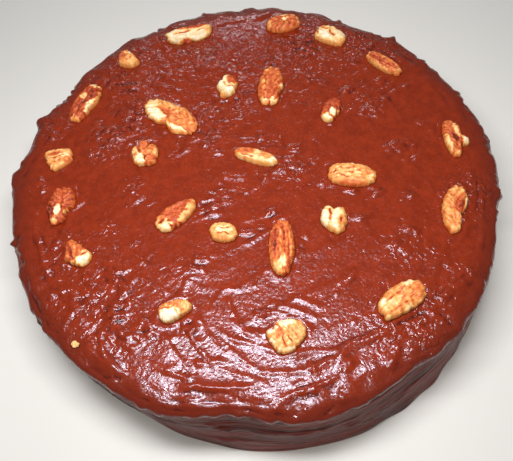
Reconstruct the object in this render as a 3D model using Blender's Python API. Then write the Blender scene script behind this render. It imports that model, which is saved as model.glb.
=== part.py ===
"""Round chocolate brownie cake: one solid under dark frosting, with pecan pieces pressed into its top.

Sizes are in millimetres and become metres where a mesh is made. +Z is up, the origin is the middle of
the underside, and -Y is the front. The frosting's spread marks are worked out on a flat chart: a point of
the chart lies as far from the middle as the cake's skin is long from the crown down to that place.
"""

import math
from typing import NamedTuple

import bmesh
import bpy
import numpy as np
from mathutils import Euler, Matrix, Vector

MM = 0.001

# The cake's form
FLAT_RADIUS = 104.0
CAKE_HEIGHT = 43.0
LIP_REACH = 1.3
LIP_HEIGHT = 4.5
TOP_CELLS = 42

# How steeply the skin falls, in degrees from level, at reaches along it: flat top, soft edge, steep side
SLOPE_REACHES = (104.0, 108.0, 115.0, 119.0, 155.0)
SLOPE_ANGLES = (0.0, 8.0, 28.0, 88.0, 88.0)
CHART_RADIUS = SLOPE_REACHES[-1]
RING_REACHES = (107.5, 111.0, 114.0, 116.5, 118.3, 120.5, 126.0, 133.0, 140.0, 147.5, 155.0)

# Where the edge of the top and the base stand out from a true circle: turn and width in degrees, size in mm
RIM_MARKS = (
    (-165, -0.8, 14), (-125, -1.2, 14), (-98, -5.2, 9), (-60, -2.6, 9), (-16, -1.6, 8), (6, 2.2, 14),
    (35, 0.9, 3), (45, 2.4, 1.8), (57, -2.3, 9), (66, 2.4, 2.5), (80, 1.4, 5), (89, -0.8, 5), (95, 1.0, 4),
    (108, 1.2, 3), (116, -0.9, 4), (121, 1.7, 4), (130, -0.5, 3), (147, -2.9, 5), (156, 3.2, 1.5),
    (165, -0.6, 4), (175, 1.7, 6),
)
BASE_MARKS = ((-125, -3.6, 24), (-62, 2.4, 26), (-15, 1.2, 25), (150, -0.8, 40))

# The knife's marks in the frosting
RIDGE_WIDTH = 5.0
STROKE_SEED = 41
LOOSE_STROKES = 64
ROW_STROKES = 8
SIDE_ROWS = ((144.0, 7.0), (135.0, 6.5), (126.0, 6.5), (117.0, 6.0), (107.0, 7.0))
LUMP_HEIGHT = 0.12
LUMP_SIZE = 36.0
RAGGED_EDGE = 0.8
RAG_SIZE = 12.0
RELIEF_GAIN = 1.6

# The fold along the front, where the top's frosting laps over the side's: its turns and its reaches
FOLD_TURNS = (-160.0, -136.0, -121.0, -109.0, -102.0, -92.0, -80.0, -70.0, -61.0, -40.0)
FOLD_REACHES = (120.0, 119.0, 118.0, 117.5, 116.5, 117.0, 118.0, 117.5, 118.0, 121.0)
FOLD_DEPTH = 1.2

# The pecans and their seats
NUT_SEGMENTS = 14
NUT_RINGS = 6
NUT_BELLY = 2.4
NUT_LIFT = 0.7
SEAT_GAP = 0.35


class Stroke(NamedTuple):
    """One pass of the spreading knife, between two points of the chart, with its path bowed to the left."""

    start: tuple
    end: tuple
    bow: float
    half_width: float
    level: float
    tilt: float
    lip: float


class Nut(NamedTuple):
    """One piece of pecan: where it lies, which way its length points, its size, form and breaks."""

    x: float
    y: float
    turn: float
    length: float
    width: float
    height: float
    form: str
    bend: float = 0.0
    roll: float = 0.0
    pitch: float = 0.0
    cuts: tuple = ()
    notches: tuple = ()


# The strokes that show best, in the order in which they were made. The last ones lie on top.
MAIN_STROKES = (
    Stroke((-92, -55), (-50, -92), -9, 13, 0.07, 0.17, 0.34),
    Stroke((-96, -50), (-64, -46), 4, 8, -0.1, -0.21, 0.63),
    Stroke((-73, -45), (-44, -88), -6, 11, -0.17, 0.24, 0.46),
    Stroke((-24, -62), (4, -88), -7, 9, 0.03, 0.21, 0.46),
    Stroke((-36, -66), (-2, -98), -9, 8, -0.07, 0.24, 0.5),
    Stroke((-28, -84), (92, -50), -31, 12, 0.21, -0.32, 0.71),
    Stroke((2, -60), (24, -74), -1, 5, 0.14, 0.14, 0.5),
    Stroke((-6, -64), (50, -46), 3, 9, 0.03, 0.24, 0.42),
    Stroke((16, -101), (36, -92), -2, 6, 0.24, 0.21, 0.46),
    Stroke((-30, 27), (10, 12), -4, 8, -0.07, -0.21, 0.46),
    Stroke((-78, 24), (-68, 52), 3, 7, 0.03, 0.21, 0.42),
    Stroke((-70, 26), (-48, 34), 1, 6, 0.14, 0.14, 0.46),
    Stroke((8, 80), (62, 54), 3, 7, 0.0, 0.21, 0.46),
    Stroke((56, 44), (70, 22), 2, 8, 0.0, 0.21, 0.42),
    Stroke((-80, -37), (-54, -48), 4, 7, 0.1, 0.21, 0.42),
    Stroke((-26, 84), (-2, 62), 4, 8, 0.0, -0.21, 0.42),
    Stroke((2, -116), (20, -108), 3, 5, 0.25, -0.3, 0.7),
)

NUTS = (
    Nut(-27.1, 95.9, 10, 26.0, 9.8, 5.0, "chunk", 1.4, 24, notches=((-78, 0.24, 13),)),
    Nut(-60.9, 81.5, -20, 14.2, 10.4, 4.6, "chunk", cuts=((200, 0.74), (58, 0.66), (150, 0.82))),
    Nut(-82.2, 53.4, 64, 25.6, 11.2, 4.1, "ridged", notches=((-120, 0.24, 34), (35, 0.06, 18))),
    Nut(
        -38.0, 38.8, -39, 32.0, 14.2, 3.8, "ribbed",
        notches=((-86, 0.27, 20), (-50, -0.12, 14), (64, -0.12, 24)),
    ),
    Nut(
        -8.2, 54.6, -104, 14.8, 10.0, 4.5, "chunk",
        cuts=((40, 0.9),), notches=((-86, -0.14, 14), (-41, 0.28, 12), (79, 0.2, 16), (-131, 0.22, 12)),
    ),
    Nut(-93.5, 19.4, 2, 16.4, 14.4, 3.4, "ridged", cuts=((0, 0.8), (92, 0.84), (-156, 0.72), (-62, 0.7))),
    Nut(
        -50.9, 17.2, -86, 15.6, 13.0, 4.5, "chunk",
        cuts=((-4, 0.86),), notches=((146, 0.28, 14), (-149, 0.24, 12), (60, 0.06, 14)),
    ),
    Nut(
        -90.2, -7.2, -96, 19.4, 12.6, 4.0, "ribbed",
        notches=((36, 0.5, 15), (62, 0.34, 12), (-16, -0.12, 10)),
    ),
    Nut(2.6, 9.4, -23, 21.8, 7.8, 4.0, "ridged", roll=-14, cuts=((-95, 0.92),)),
    Nut(
        -36.9, -18.4, 39, 23.6, 11.4, 4.3, "chunk",
        cuts=((180, 0.9), (72, 0.82)), notches=((128, 0.12, 16),),
    ),
    Nut(-15.1, -30.0, -16, 13.0, 9.6, 3.8, "chunk", notches=((205, 0.1, 16),)),
    Nut(24.8, 97.0, 5, 18.6, 11.4, 4.1, "ribbed", notches=((88, 0.08, 14),)),
    Nut(48.8, 84.9, -37, 18.2, 11.8, 4.5, "chunk", cuts=((175, 0.9), (-82, 0.84))),
    Nut(73.9, 62.1, -47, 22.6, 7.4, 4.1, "ridged", 0.4, 10, cuts=((180, 0.94),)),
    Nut(13.9, 52.5, -101, 26.6, 13.0, 4.0, "ribbed", cuts=((0, 0.92),), notches=((52, 0.2, 18),)),
    Nut(42.6, 33.7, -120, 14.6, 9.0, 4.1, "chunk", notches=((62, 0.2, 18), (118, 0.1, 16))),
    Nut(46.4, -5.5, -12, 23.6, 12.2, 4.1, "ridged", cuts=((184, 0.95),)),
    Nut(
        98.9, 10.6, -87, 21.4, 9.6, 4.0, "ribbed", -0.6,
        notches=((24, 0.4, 14), (66, -0.42, 18), (104, 0.28, 16)),
    ),
    Nut(
        90.6, -28.2, -107, 25.4, 10.6, 4.1, "ribbed", 1.2,
        cuts=((78, 0.96),), notches=((50, 0.24, 22), (128, -0.14, 22)),
    ),
    Nut(35.2, -28.2, -96, 15.0, 12.0, 4.3, "chunk", cuts=((-42, 0.84),), notches=((178, 0.34, 18),)),
    Nut(10.4, -39.9, -94, 27.6, 11.8, 4.8, "ridged", notches=((205, 0.06, 16), (32, 0.1, 20))),
    Nut(-81.6, -33.5, -72, 15.2, 14.0, 4.3, "chunk", cuts=((120, 0.6), (-44, 0.76), (-108, 0.72))),
    Nut(-38.0, -65.3, 11, 15.8, 9.6, 4.5, "chunk", cuts=((185, 0.86), (-70, 0.8))),
    Nut(
        8.4, -80.6, 11, 17.8, 14.4, 4.0, "ribbed",
        cuts=((196, 0.84), (-54, 0.84)), notches=((132, 0.2, 14),),
    ),
    Nut(58.1, -69.6, 30, 24.6, 13.0, 4.3, "ridged", -0.6, cuts=((178, 0.93), (-100, 0.94))),
)


def smoothstep(low, high, value):
    """0 below low, 1 above high and a smooth rise between them."""
    share = np.clip((value - low) / (high - low), 0.0, 1.0)
    return share * share * (3.0 - 2.0 * share)


def bump(value, middle, width):
    """1 at the middle, falling away like a bell on both sides."""
    return np.exp(-(((value - middle) / width) ** 2))


def waves(x, y, wavelength, seed, count=14):
    """Smooth noise of about unit height: a sum of plane waves in seeded directions."""
    draw = np.random.default_rng(seed)
    total = np.zeros_like(np.asarray(x, float) + y)
    for _ in range(count):
        heading, phase = draw.uniform(0.0, math.tau, 2)
        pitch = math.tau / (wavelength * draw.uniform(0.7, 1.5))
        total += np.sin(pitch * (x * math.cos(heading) + y * math.sin(heading)) + phase)
    return total * math.sqrt(2.0 / count)


def along_and_across(x, y, stroke):
    """Place in a bowed stroke: 0 to 1 from its start to its end, and millimetres to its left."""
    start, end = np.array(stroke.start, float), np.array(stroke.end, float)
    chord = np.linalg.norm(end - start)
    ahead = (end - start) / chord
    left = np.array((-ahead[1], ahead[0]))
    side = math.copysign(1.0, stroke.bow)
    sagitta = max(abs(stroke.bow), 0.5)
    arc_radius = (chord**2 / 4 + sagitta**2) / (2 * sagitta)
    centre = (start + end) / 2 + left * side * (sagitta - arc_radius)
    dx, dy = x - centre[0], y - centre[1]
    outward = side * left
    angle = np.arctan2(dx * ahead[0] + dy * ahead[1], dx * outward[0] + dy * outward[1])
    half_angle = math.atan2(chord / 2, arc_radius - sagitta)
    return (angle / half_angle + 1) / 2, side * (np.hypot(dx, dy) - arc_radius)


def press_stroke(height, x, y, stroke):
    """The frosting after one stroke: a smooth bed inside it, and a pushed-up lip along its left side."""
    along, across = along_and_across(x, y, stroke)
    share = across / stroke.half_width
    fade = smoothstep(-0.06, 0.16, along) * (1 - smoothstep(0.84, 1.06, along))
    bed = stroke.level + stroke.tilt * share - 0.12 * (1 - share**2)
    covered = fade * (1 - smoothstep(0.78, 1.08, np.abs(share)))
    lip = stroke.lip * bump(across, stroke.half_width, RIDGE_WIDTH / 2)
    far_lip = 0.4 * stroke.lip * bump(across, -stroke.half_width, RIDGE_WIDTH / 2)
    return height + covered * (bed - height) + fade * (lip + far_lip)


def loose_strokes():
    """Short strokes over the whole top, headed round the cake more than across it."""
    draw = np.random.default_rng(STROKE_SEED)
    for _ in range(LOOSE_STROKES):
        reach = FLAT_RADIUS * 1.05 * math.sqrt(draw.uniform(0.01, 1.0))
        place = draw.uniform(0.0, math.tau)
        heading = place + math.pi / 2 + draw.normal(0.0, 0.6)
        half_length = draw.uniform(14.0, 32.0)
        middle = np.array((reach * math.cos(place), reach * math.sin(place)))
        step = half_length * np.array((math.cos(heading), math.sin(heading)))
        yield Stroke(
            tuple(middle - step),
            tuple(middle + step),
            draw.uniform(-5.0, 7.0),
            draw.uniform(6.0, 12.0),
            draw.uniform(-0.12, 0.12),
            draw.uniform(-0.12, 0.12),
            draw.uniform(0.05, 0.5),
        )


def side_strokes():
    """Level strokes round the side, row by row from the base up. The top row is rolled over the others."""
    draw = np.random.default_rng(STROKE_SEED + 1)
    for row_reach, half_width in SIDE_ROWS:
        for number in range(ROW_STROKES):
            place = math.tau * (number + draw.uniform(-0.2, 0.2)) / ROW_STROKES
            reach = row_reach + draw.uniform(-2.0, 2.0)
            half_angle = math.pi / ROW_STROKES * draw.uniform(1.0, 1.5)
            turns = (place + half_angle, place - half_angle)
            ends = [(reach * math.cos(turn), reach * math.sin(turn)) for turn in turns]
            bow = reach * (1 - math.cos(half_angle))
            level, tilt, lip = draw.uniform(-0.2, 0.2), draw.uniform(0.0, 0.35), draw.uniform(0.3, 0.9)
            yield Stroke(*ends, bow, half_width * draw.uniform(0.9, 1.1), level, tilt, lip)


ALL_STROKES = (*side_strokes(), *loose_strokes(), *MAIN_STROKES)


def fold(x, y):
    """A soft swelling, then a step down, along the front third, drawn as wide as the solid's cells need."""
    reach, turn = np.hypot(x, y), np.degrees(np.arctan2(y, x))
    line = np.interp(turn, FOLD_TURNS, FOLD_REACHES)
    there = smoothstep(-163.0, -138.0, turn) * (1 - smoothstep(-60.0, -42.0, turn))
    step = smoothstep(line - 1.5, line + 2.5, reach) * (1 - smoothstep(line + 6.0, line + 20.0, reach))
    return there * (0.35 * bump(reach, line - 2.6, 2.2) - FOLD_DEPTH * step)


def relief(x, y):
    """Height of the frosting over the plain cake, in millimetres, at a point of the chart.

    The gain makes the strokes show on the solid's cells, which are wider than their ridges.
    """
    height = LUMP_HEIGHT * waves(x, y, LUMP_SIZE, STROKE_SEED + 2)
    for stroke in ALL_STROKES:
        height = press_stroke(height, x, y, stroke)
    height = RELIEF_GAIN * height + fold(x, y)
    return height * (1 - smoothstep(CHART_RADIUS - 8.0, CHART_RADIUS, np.hypot(x, y)))


def slope(reach):
    """How steeply the skin falls, in radians from level, at a distance from the middle along the skin."""
    return np.radians(np.interp(reach, SLOPE_REACHES, SLOPE_ANGLES))


# The slope summed up in small steps along the skin, outward and down
STEPS = np.linspace(FLAT_RADIUS, CHART_RADIUS, 1025)
STEP_SLOPES = slope((STEPS[1:] + STEPS[:-1]) / 2)
STEP_RADII = FLAT_RADIUS + np.append(0.0, np.cumsum(np.cos(STEP_SLOPES))) * (STEPS[1] - STEPS[0])
STEP_DROPS = np.append(0.0, np.cumsum(np.sin(STEP_SLOPES))) * (STEPS[1] - STEPS[0])


def plain_skin(reach):
    """Radius and height of the turned form, with a low crown inside the flat."""
    radius = np.where(reach < FLAT_RADIUS, reach, np.interp(reach, STEPS, STEP_RADII))
    crown = (CAKE_HEIGHT - STEP_DROPS[-1]) * (1 - np.minimum(reach / FLAT_RADIUS, 1.0) ** 2)
    return radius, STEP_DROPS[-1] - np.interp(reach, STEPS, STEP_DROPS) + crown


def stands_out(place, marks):
    """How far an edge stands out from a true circle, in millimetres: bells round the cake."""
    turn = np.degrees(place) + 180.0
    return sum(size * bump((turn - middle) % 360.0 - 180.0, 0.0, width) for middle, size, width in marks)


def ragged_edge(x, y, reach, place):
    """The uneven edge of the top, in millimetres outward, calmest along the front."""
    quiet = bump((np.degrees(place) + 275.0) % 360.0 - 180.0, 0.0, 55.0)
    rough = (1 - 0.75 * quiet) * smoothstep(-0.9, 1.3, waves(x, y, 26.0, STROKE_SEED + 12))
    at_edge = np.exp(-(((reach - 117.0) / np.where(reach < 117.0, 9.0, 3.0)) ** 2))
    return RAGGED_EDGE * rough * at_edge * waves(x, y, RAG_SIZE, STROKE_SEED + 3)


def cake_skin(x, y):
    """The frosted skin in space, in millimetres, at a point of the chart."""
    reach, place = np.hypot(x, y), np.arctan2(y, x)
    (radius, height), swing, rise = plain_skin(reach), slope(reach), relief(x, y)
    lip = LIP_REACH * bump(height, 0.0, LIP_HEIGHT) * (0.6 + 0.4 * waves(x, y, 30.0, STROKE_SEED + 4))
    at_base, edge = smoothstep(118.0, CHART_RADIUS, reach), smoothstep(99.0, 117.0, reach)
    rim = edge * ((1 - at_base) * stands_out(place, RIM_MARKS) + ragged_edge(x, y, reach, place))
    radius = radius + rim + at_base * stands_out(place, BASE_MARKS) + rise * np.sin(swing) + lip
    height = np.maximum(height + rise * np.cos(swing), 0.0)
    return radius * np.cos(place), radius * np.sin(place), height


def square_to_disc(u, v):
    """Sends a square from -1 to 1 to the unit disc, ring by ring, with even cells."""
    wide = np.abs(u) > np.abs(v)
    reach = np.where(wide, u, v)
    other = np.where(wide, v, u)
    turn = math.pi / 4 * np.divide(other, reach, out=np.zeros_like(reach), where=reach != 0)
    angle = np.where(wide, turn, math.pi / 2 - turn)
    return reach * np.cos(angle), reach * np.sin(angle)


def set_points(mesh, points):
    """Moves the vertices of a bmesh to an array of points given in millimetres."""
    for vertex, point in zip(mesh.verts, points):
        vertex.co = point * MM


def points_of(mesh):
    return np.array([vertex.co for vertex in mesh.verts])


def add_object(name, mesh, collection, material=None):
    """Stores a bmesh as a smooth named object of a collection."""
    data = bpy.data.meshes.new(name)
    mesh.to_mesh(data)
    mesh.free()
    data.shade_smooth()
    if material:
        data.materials.append(material)
    thing = bpy.data.objects.new(name, data)
    collection.objects.link(thing)
    return thing


def make_cake(collection, material, cutters):
    """A flat chart, a disc with rings round it, wrapped over the cake and closed by a flat underside."""
    mesh = bmesh.new()
    bmesh.ops.create_grid(mesh, x_segments=TOP_CELLS, y_segments=TOP_CELLS, size=1.0)
    square = points_of(mesh)
    x, y = square_to_disc(square[:, 0], square[:, 1])
    set_points(mesh, np.stack((x, y, 0 * x), axis=1) * FLAT_RADIUS)
    rim = [edge for edge in mesh.edges if edge.is_boundary]
    for inner, outer in zip((FLAT_RADIUS, *RING_REACHES), RING_REACHES):
        ring = bmesh.ops.extrude_edge_only(mesh, edges=rim)["geom"]
        verts = [part for part in ring if isinstance(part, bmesh.types.BMVert)]
        bmesh.ops.scale(mesh, vec=Vector((outer / inner, outer / inner, 1.0)), verts=verts)
        rim = [part for part in ring if isinstance(part, bmesh.types.BMEdge)]
    chart = points_of(mesh) / MM
    set_points(mesh, np.stack(cake_skin(chart[:, 0], chart[:, 1]), axis=1))
    bmesh.ops.contextual_create(mesh, geom=rim)
    bmesh.ops.recalc_face_normals(mesh, faces=mesh.faces)
    cake = add_object("frosted_cake", mesh, collection, material)
    seats = cake.modifiers.new("pecan seats", "BOOLEAN")
    seats.operation = "DIFFERENCE"
    seats.operand_type = "COLLECTION"
    seats.collection = cutters
    return cake


def nut_outline(nut, angle):
    """Distance from the middle of a piece to its edge, seen from above, at an angle in its own frame."""
    cosine, sine = np.cos(angle), np.sin(angle)
    power = 2.3
    oval = np.abs(cosine / (nut.length / 2)) ** power + np.abs(sine / (nut.width / 2)) ** power
    edge = oval ** (-1 / power)
    for facing, share in nut.cuts:
        toward = np.cos(angle - math.radians(facing))
        depth = share / math.sqrt(
            (math.cos(math.radians(facing)) / (nut.length / 2)) ** 2
            + (math.sin(math.radians(facing)) / (nut.width / 2)) ** 2
        )
        straight = depth / np.maximum(toward, 0.05)
        edge = (edge**-10 + straight**-10) ** -0.1
    for facing, depth, spread in nut.notches:
        away = (angle - math.radians(facing) + math.pi) % math.tau - math.pi
        edge = edge * (1 - depth * bump(away, 0.0, math.radians(spread)))
    return edge


def nut_crown(nut, along, across):
    """Share of a piece's height at a place: along and across run from -1 to 1 between its edges."""
    if nut.form == "ridged":
        grooves = 0.2 * bump(across, 0.0, 0.16) + 0.1 * bump(np.abs(across), 0.52, 0.1)
        return 1 - grooves - 0.05 * np.sin(9 * along + 4 * across)
    if nut.form == "ribbed":
        ribs = 0.06 * np.sin(along * nut.length * 0.9 + 2.5 * np.abs(across)) * np.abs(across)
        return 0.86 - 0.26 * bump(across, 0.0, 0.2) + 0.14 * bump(np.abs(across), 0.6, 0.3) + ribs
    return 0.92 + 0.14 * np.sin(4.2 * along + 1.0) * np.cos(3.6 * across) - 0.16 * bump(across, 0.1, 0.2)


def nut_points(nut, ball):
    """Moulds the unit ball into a piece: its outline, crown and belly, bowed along its length."""
    angle = np.arctan2(ball[:, 1] * nut.width, ball[:, 0] * nut.length)
    reach = np.minimum(np.hypot(ball[:, 0], ball[:, 1]), 1.0)
    edge = nut_outline(nut, angle)
    x, y = reach * edge * np.cos(angle), reach * edge * np.sin(angle)
    along, across = 2 * x / nut.length, 2 * y / nut.width
    thickness = (1 - reach**5) ** 0.5
    top = thickness * (nut.height - NUT_LIFT) * nut_crown(nut, along, across)
    z = np.where(ball[:, 2] > 0, top, -thickness * NUT_BELLY)
    y = y + nut.bend * (along**2 - 0.5)
    return np.stack((x, y, z), axis=1)


def nut_mesh(nut, grow=0.0):
    """A ball moulded into a pecan piece, and swollen by grow to make the cutter of its seat."""
    mesh = bmesh.new()
    bmesh.ops.create_uvsphere(mesh, u_segments=NUT_SEGMENTS, v_segments=NUT_RINGS, radius=1.0)
    set_points(mesh, nut_points(nut, points_of(mesh)))
    mesh.normal_update()
    shifts = [vertex.normal * grow * MM for vertex in mesh.verts]
    for vertex, shift in zip(mesh.verts, shifts):
        vertex.co += shift
    return mesh


def nut_seat(nut):
    """Where a piece rests: on the mean frosting height below it, turned and rolled as it lies."""
    heading = math.radians(nut.turn)
    ahead = nut.length * np.array((math.cos(heading), math.sin(heading)))
    left = nut.width * np.array((-math.sin(heading), math.cos(heading)))
    spots = [along * ahead + across * left for along in (-0.3, 0, 0.3) for across in (-0.3, 0, 0.3)]
    x, y = (np.array(spots) + (nut.x, nut.y)).T
    height = cake_skin(x, y)[2].mean() + NUT_LIFT
    turn = Euler((math.radians(nut.roll), math.radians(nut.pitch), heading))
    return Matrix.Translation(Vector((nut.x, nut.y, height)) * MM) @ turn.to_matrix().to_4x4()


def make_nuts(collection, cutters, material):
    """Each pecan piece, and the swollen copy of it that cuts its seat."""
    for number, nut in enumerate(NUTS, start=1):
        place = nut_seat(nut)
        add_object(f"pecan_{number:02d}", nut_mesh(nut), collection, material).matrix_world = place
        cutter = add_object(f"seat_{number:02d}", nut_mesh(nut, SEAT_GAP), cutters)
        cutter.matrix_world = place
        cutter.hide_render = True
        cutter.display_type = "WIRE"


def make_material(name, colour, roughness):
    """A plain Principled material."""
    material = bpy.data.materials.new(name)
    material.use_nodes = True
    shader = material.node_tree.nodes["Principled BSDF"]
    shader.inputs["Base Color"].default_value = (*colour, 1.0)
    shader.inputs["Roughness"].default_value = roughness
    shader.inputs["Metallic"].default_value = 0.0
    return material


def new_collection(name):
    collection = bpy.data.collections.new(name)
    bpy.context.scene.collection.children.link(collection)
    return collection


def main():
    for thing in list(bpy.data.objects):
        bpy.data.objects.remove(thing)
    brownie_cake = new_collection("chocolate_brownie_cake")
    cutters = new_collection("seat_cutters")
    frosting = make_material("chocolate_frosting", (0.12, 0.022, 0.009), 0.28)
    pecan = make_material("roasted_pecan", (0.52, 0.2, 0.06), 0.55)
    make_nuts(brownie_cake, cutters, pecan)
    make_cake(brownie_cake, frosting, cutters)


main()
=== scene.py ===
# %% [markdown]
# # A chocolate brownie cake with pecans
#
# One low round cake, frosted all over with a spreading knife, and twenty-five broken pecan pieces pressed
# into the top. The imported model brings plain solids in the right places. This lesson builds the finer skin
# over them: frosting with every pass of the knife in it, nuts with their ridges and breaks, and the
# finishes of both.

import math
from typing import NamedTuple, Sequence

import bpy
import numpy as np
from mathutils import Matrix


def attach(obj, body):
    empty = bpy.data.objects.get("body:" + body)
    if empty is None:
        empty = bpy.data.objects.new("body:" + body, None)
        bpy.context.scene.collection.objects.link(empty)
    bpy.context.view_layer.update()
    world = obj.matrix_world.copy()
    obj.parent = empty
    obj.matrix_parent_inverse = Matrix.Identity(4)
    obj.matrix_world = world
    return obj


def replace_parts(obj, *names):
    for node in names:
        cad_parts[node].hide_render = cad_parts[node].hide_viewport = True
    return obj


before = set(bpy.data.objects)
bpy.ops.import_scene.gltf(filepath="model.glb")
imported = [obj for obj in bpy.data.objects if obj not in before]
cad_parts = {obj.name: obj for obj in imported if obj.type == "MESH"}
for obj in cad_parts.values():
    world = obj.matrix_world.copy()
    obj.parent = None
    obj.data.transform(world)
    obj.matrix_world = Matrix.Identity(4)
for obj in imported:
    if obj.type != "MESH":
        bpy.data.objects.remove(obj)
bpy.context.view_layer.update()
MM = 0.001

# %% [markdown]
# ## Small helpers
#
# A smooth step and a bell are enough to draw most soft forms. Smooth noise comes from a sum of sine waves
# that run in random but seeded directions, so it is the same on every run, and it can be read at any point
# at once.


# %% Curves and noise
def smoothstep(low, high, value):
    """0 below low, 1 above high and a smooth rise between them."""
    share = np.clip((value - low) / (high - low), 0.0, 1.0)
    return share * share * (3.0 - 2.0 * share)


def bump(value, middle, width):
    """1 at the middle, falling away like a bell on both sides."""
    return np.exp(-(((value - middle) / width) ** 2))


def plateau(rise_from, rise_to, fall_from, fall_to, value):
    """1 between a smooth rise and a smooth fall, and 0 outside both."""
    return smoothstep(rise_from, rise_to, value) * (1 - smoothstep(fall_from, fall_to, value))


def degrees_from(turn, middle):
    """How far a turn lies from another one, from -180 to 180 degrees."""
    return (turn - middle + 180.0) % 360.0 - 180.0


def polar(reach, turn):
    """The point at a distance from the middle and a turn in radians."""
    return np.array((reach * math.cos(turn), reach * math.sin(turn)))


def waves(x, y, wavelength, seed, count=14):
    """Smooth noise of about unit height: a sum of plane waves in seeded directions."""
    draw = np.random.default_rng(seed)
    total = np.zeros_like(np.asarray(x, float) + y)
    for _ in range(count):
        heading, phase = draw.uniform(0.0, math.tau, 2)
        pitch = math.tau / (wavelength * draw.uniform(0.7, 1.5))
        total += np.sin(pitch * (x * math.cos(heading) + y * math.sin(heading)) + phase)
    return total * math.sqrt(2.0 / count)


print("noise at one point:", round(float(waves(10.0, 20.0, 30.0, seed=1)), 3))

# %% [markdown]
# ## The plain cake
#
# The chart is a flat map of the cake's skin: a point lies as far from the middle as the skin is long from
# the crown down to that place. On it the flat top, the slope round it, the crisp edge and the side are one
# disc, so a knife mark can run over the edge without a seam. The form is summed up from how steeply the
# skin falls.

# %% The plain form
FLAT_RADIUS, EDGE_REACH, CAKE_HEIGHT = 104.0, 117.0, 43.0
SLOPE_REACHES = (104.0, 108.0, 115.0, 119.0, 155.0)
SLOPE_ANGLES = (0.0, 8.0, 28.0, 88.0, 88.0)
CHART_RADIUS = SLOPE_REACHES[-1]
LIP_REACH, LIP_HEIGHT = 1.3, 4.5


def slope(reach):
    """How steeply the skin falls, in radians from level, at a distance from the middle along the skin."""
    return np.radians(np.interp(reach, SLOPE_REACHES, SLOPE_ANGLES))


STEPS = np.linspace(FLAT_RADIUS, CHART_RADIUS, 1025)
STEP_SLOPES = slope((STEPS[1:] + STEPS[:-1]) / 2)
STEP_RADII = FLAT_RADIUS + np.append(0.0, np.cumsum(np.cos(STEP_SLOPES))) * (STEPS[1] - STEPS[0])
STEP_DROPS = np.append(0.0, np.cumsum(np.sin(STEP_SLOPES))) * (STEPS[1] - STEPS[0])
FLAT_HEIGHT = STEP_DROPS[-1]


def plain_skin(reach):
    """Radius and height of the turned form: the slope summed along the skin, with a low crown on top."""
    radius = np.where(reach < FLAT_RADIUS, reach, np.interp(reach, STEPS, STEP_RADII))
    crown = (CAKE_HEIGHT - FLAT_HEIGHT) * (1 - np.minimum(reach / FLAT_RADIUS, 1.0) ** 2)
    return radius, FLAT_HEIGHT - np.interp(reach, STEPS, STEP_DROPS) + crown


RIM_MARKS = (
    (-165, -0.8, 14), (-125, -1.2, 14), (-98, -5.2, 9), (-60, -2.6, 9), (-16, -1.6, 8), (6, 2.2, 14),
    (35, 0.9, 3), (45, 2.4, 1.8), (57, -2.3, 9), (66, 2.4, 2.5), (80, 1.4, 5), (89, -0.8, 5), (95, 1.0, 4),
    (108, 1.2, 3), (116, -0.9, 4), (121, 1.7, 4), (130, -0.5, 3), (147, -2.9, 5), (156, 3.2, 1.5),
    (165, -0.6, 4), (175, 1.7, 6),
)
BASE_MARKS = ((-125, -3.6, 24), (-62, 2.4, 26), (-15, 1.2, 25), (150, -0.8, 40))


def stands_out(place, marks):
    """How far an edge stands out from a true circle: bells with a turn, a size and a width in degrees."""
    turn = np.degrees(place)
    return sum(size * bump(degrees_from(turn, middle), 0.0, width) for middle, size, width in marks)


edge_and_base = plain_skin(np.array((EDGE_REACH, CHART_RADIUS)))
print("edge and base, radius and height in mm:", np.round(edge_and_base, 1).tolist())

# %% [markdown]
# ## The knife's strokes
#
# Frosting is spread in short bowed passes. Each pass irons a smooth bed, leaves faint drag lines along it,
# and pushes a ridge up beside it, steep on the outer side. Later passes wipe out earlier ones, so the
# strokes are pressed into one height map in order: rows round the side from the base up, then many seeded
# ones over the top, and last the few that show best.


# %% One stroke
class Stroke(NamedTuple):
    """A pass between two points of the chart, bowed to the left: its half width, level, tilt and lip."""

    start: Sequence
    end: Sequence
    bow: float
    half_width: float
    level: float
    tilt: float
    lip: float


RIDGE_INSIDE, RIDGE_OUTSIDE = 1.4, 0.8
BED_HOLLOW, FAR_LIP = 0.12, 0.4
DRAG_HEIGHT, DRAG_SPACING, FINE_DRAG = 0.012, 2.3, 4.1
STROKE_SEED = 41


def along_and_across(x, y, stroke):
    """Place in a bowed stroke: 0 to 1 from its start to its end, and millimetres to its left."""
    start, end = np.array(stroke.start, float), np.array(stroke.end, float)
    chord = np.linalg.norm(end - start)
    ahead = (end - start) / chord
    left = np.array((-ahead[1], ahead[0]))
    side = math.copysign(1.0, stroke.bow)
    sagitta = max(abs(stroke.bow), 0.5)
    arc_radius = (chord**2 / 4 + sagitta**2) / (2 * sagitta)
    centre = (start + end) / 2 + left * side * (sagitta - arc_radius)
    dx, dy = x - centre[0], y - centre[1]
    outward = side * left
    angle = np.arctan2(dx * ahead[0] + dy * ahead[1], dx * outward[0] + dy * outward[1])
    half_angle = math.atan2(chord / 2, arc_radius - sagitta)
    return (angle / half_angle + 1) / 2, side * (np.hypot(dx, dy) - arc_radius)


def ridge(offset, inside, outside):
    """A pushed-up ridge: a bell with its own width on each side of its crest."""
    return np.exp(-((offset / np.where(offset < 0, inside, outside)) ** 2))


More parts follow.
